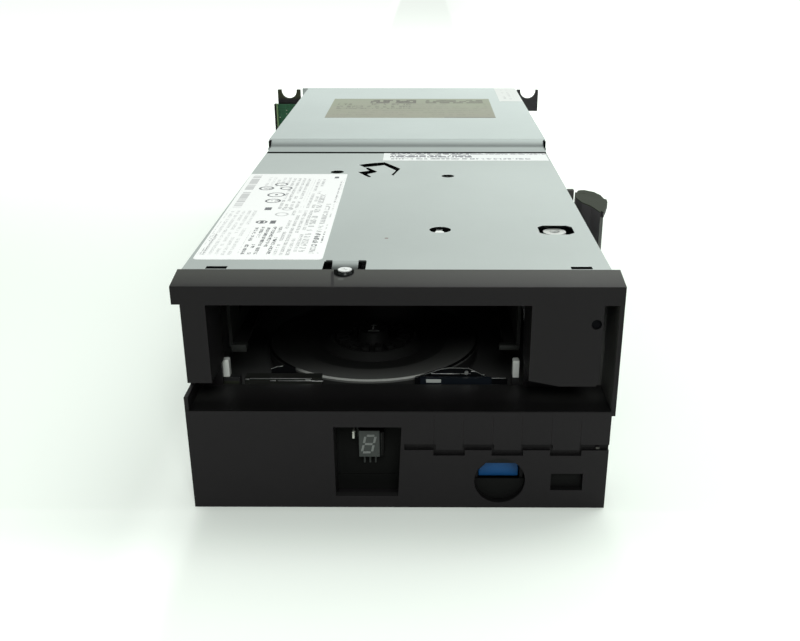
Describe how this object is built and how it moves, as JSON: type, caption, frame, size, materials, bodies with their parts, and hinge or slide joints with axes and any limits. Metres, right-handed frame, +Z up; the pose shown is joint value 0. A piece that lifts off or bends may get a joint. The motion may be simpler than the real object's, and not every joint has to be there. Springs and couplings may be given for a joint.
{
  "type": "data tape drive",
  "caption": "Full-height data tape drive with an open cartridge slot, a display and eject button in its bezel, and a rear extension with a fan, sockets and notched guide forks.",
  "frame": {"origin": "centre of the four bottom mounting holes, on the underside of the chassis", "axes": "+Y from the bezel to the rear, +Z up, +X to the right seen from the front"},
  "size_m": [0.1912, 0.4295, 0.0869],
  "materials": {
    "black_moulding": "fine textured moulded black",
    "dark_hub": "smooth black moulding",
    "zinc_sheet": "zinc-plated sheet, satin",
    "cast_metal": "die-cast, as cast and machined",
    "bright_steel": "bright turned or plated steel",
    "black_steel": "black painted steel",
    "white_plastic": "natural white acetal",
    "green_board": "green solder mask",
    "blue_board": "blue solder mask",
    "chip_black": "moulded package",
    "display_grey": "grey display face",
    "lamp_clear": "clear lens",
    "blue_plastic": "blue moulding",
    "label_white": "matt white label stock",
    "label_tan": "aged tan label stock"
  },
  "bodies": {
    "chassis": {"arm_post": "bright_steel", "bezel": "black_moulding", "card_standoffs": "bright_steel", "card_stiffener": "black_steel", "cartridge_spring": "bright_steel", "chassis_base": "cast_metal", "corner_label": "label_white", "cover_screws": "bright_steel", "deck_screws": "bright_steel", "display_digit": "display_grey", "eject_switch": "chip_black", "fan_frame": "black_moulding", "front_card": "green_board", "front_rail": "black_steel", "front_screw": "bright_steel", "gear_post": "bright_steel", "guide_posts": "white_plastic", "head_motor": "cast_metal", "head_rods": "bright_steel", "information_label": "label_white", "interposer_card": "green_board", "latch_mount": "zinc_sheet", "latch_pin": "bright_steel", "library_connector": "black_moulding", "loader_motor": "cast_metal", "logic_card": "green_board", "logic_chips": "chip_black", "main_cover": "zinc_sheet", "mechanism_deck": "black_steel", "optical_ports": "zinc_sheet", "power_card": "green_board", "power_parts": "chip_black", "power_shield": "zinc_sheet", "rear_bracket": "black_steel", "rear_cover": "zinc_sheet", "rear_label": "label_tan", "rear_panel": "zinc_sheet", "rear_tray": "zinc_sheet", "roller_posts": "bright_steel", "sensor_card": "blue_board", "status_lamp": "lamp_clear", "strip_label": "label_white", "supply_motor": "cast_metal", "takeup_motor": "cast_metal"},
    "eject_button": {"eject_button": "blue_plastic"},
    "loader_slider": {"loader_slider": "bright_steel"},
    "cartridge_tray": {"cartridge_tray": "black_steel"},
    "load_gear": {"load_gear": "white_plastic"},
    "motor_pinion": {"motor_pinion": "white_plastic"},
    "supply_turntable": {"supply_turntable": "dark_hub"},
    "takeup_reel": {"takeup_reel": "black_moulding"},
    "guide_roller_1": {"guide_roller_1": "bright_steel"},
    "guide_roller_2": {"guide_roller_2": "bright_steel"},
    "guide_roller_3": {"guide_roller_3": "bright_steel"},
    "guide_roller_4": {"guide_roller_4": "bright_steel"},
    "head_carriage": {"tape_head": "black_moulding", "head_carriage": "cast_metal"},
    "threading_arm": {"threading_arm": "white_plastic"},
    "fan_rotor": {"fan_rotor": "black_moulding"},
    "side_latch": {"side_latch": "black_moulding"}
  },
  "joints": [
    {"name": "eject_press", "type": "slide", "parent": "chassis", "child": "eject_button", "axis": [0, 1, 0], "range_m": [0, 0.0015], "stiffness_N_per_m": 300, "springref_m": -0.0005},
    {"name": "slider_travel", "type": "slide", "parent": "chassis", "child": "loader_slider", "axis": [0, 1, 0], "range_m": [0, 0.024]},
    {"name": "tray_lift", "type": "slide", "parent": "chassis", "child": "cartridge_tray", "axis": [0, 0, 1], "range_m": [-0.0092, 0]},
    {"name": "load_gear_turn", "type": "hinge", "parent": "chassis", "child": "load_gear", "pos_m": [0.06, -0.02283, 0.0688], "axis": [0, 0, 1], "range_deg": [-156, 0]},
    {"name": "pinion_turn", "type": "hinge", "parent": "chassis", "child": "motor_pinion", "pos_m": [0.06, -0.00882, 0.0688], "axis": [0, 0, 1], "range_deg": [0, 281]},
    {"name": "supply_turn", "type": "hinge", "parent": "chassis", "child": "supply_turntable", "pos_m": [-0.011, -0.02442, 0.0348], "axis": [0, 0, 1], "continuous": true},
    {"name": "takeup_turn", "type": "hinge", "parent": "chassis", "child": "takeup_reel", "pos_m": [0.026, 0.07838, 0.0508], "axis": [0, 0, 1], "continuous": true},
    {"name": "roller_1_turn", "type": "hinge", "parent": "chassis", "child": "guide_roller_1", "pos_m": [-0.055, 0.04698, 0.0516], "axis": [0, 0, 1], "continuous": true},
    {"name": "roller_2_turn", "type": "hinge", "parent": "chassis", "child": "guide_roller_2", "pos_m": [-0.057, 0.06438, 0.0516], "axis": [0, 0, 1], "continuous": true},
    {"name": "roller_3_turn", "type": "hinge", "parent": "chassis", "child": "guide_roller_3", "pos_m": [-0.027, 0.08378, 0.0516], "axis": [0, 0, 1], "continuous": true},
    {"name": "roller_4_turn", "type": "hinge", "parent": "chassis", "child": "guide_roller_4", "pos_m": [-0.016, 0.09738, 0.0516], "axis": [0, 0, 1], "continuous": true},
    {"name": "head_lift", "type": "slide", "parent": "chassis", "child": "head_carriage", "axis": [0, 0, 1], "range_m": [-0.002, 0.002]},
    {"name": "arm_swing", "type": "hinge", "parent": "chassis", "child": "threading_arm", "pos_m": [-0.02, 0.05838, 0.0638], "axis": [0, 0, 1], "range_deg": [-180, 0]},
    {"name": "fan_spin", "type": "hinge", "parent": "chassis", "child": "fan_rotor", "pos_m": [0.032, 0.31688, 0.0408], "axis": [0, 1, 0], "continuous": true},
    {"name": "latch_press", "type": "hinge", "parent": "chassis", "child": "side_latch", "pos_m": [0.0782, 0.03037, 0.0588], "axis": [0, 0, 1], "range_deg": [-8, 0], "stiffness_Nm_per_rad": 1, "springref_deg": 2.86}
  ],
  "couplings": [
    {"joint": "tray_lift", "follows": "slider_travel", "ratio": -0.375},
    {"joint": "load_gear_turn", "follows": "slider_travel", "rad_per_m": -111.11},
    {"joint": "pinion_turn", "follows": "slider_travel", "rad_per_m": 200}
  ]
}
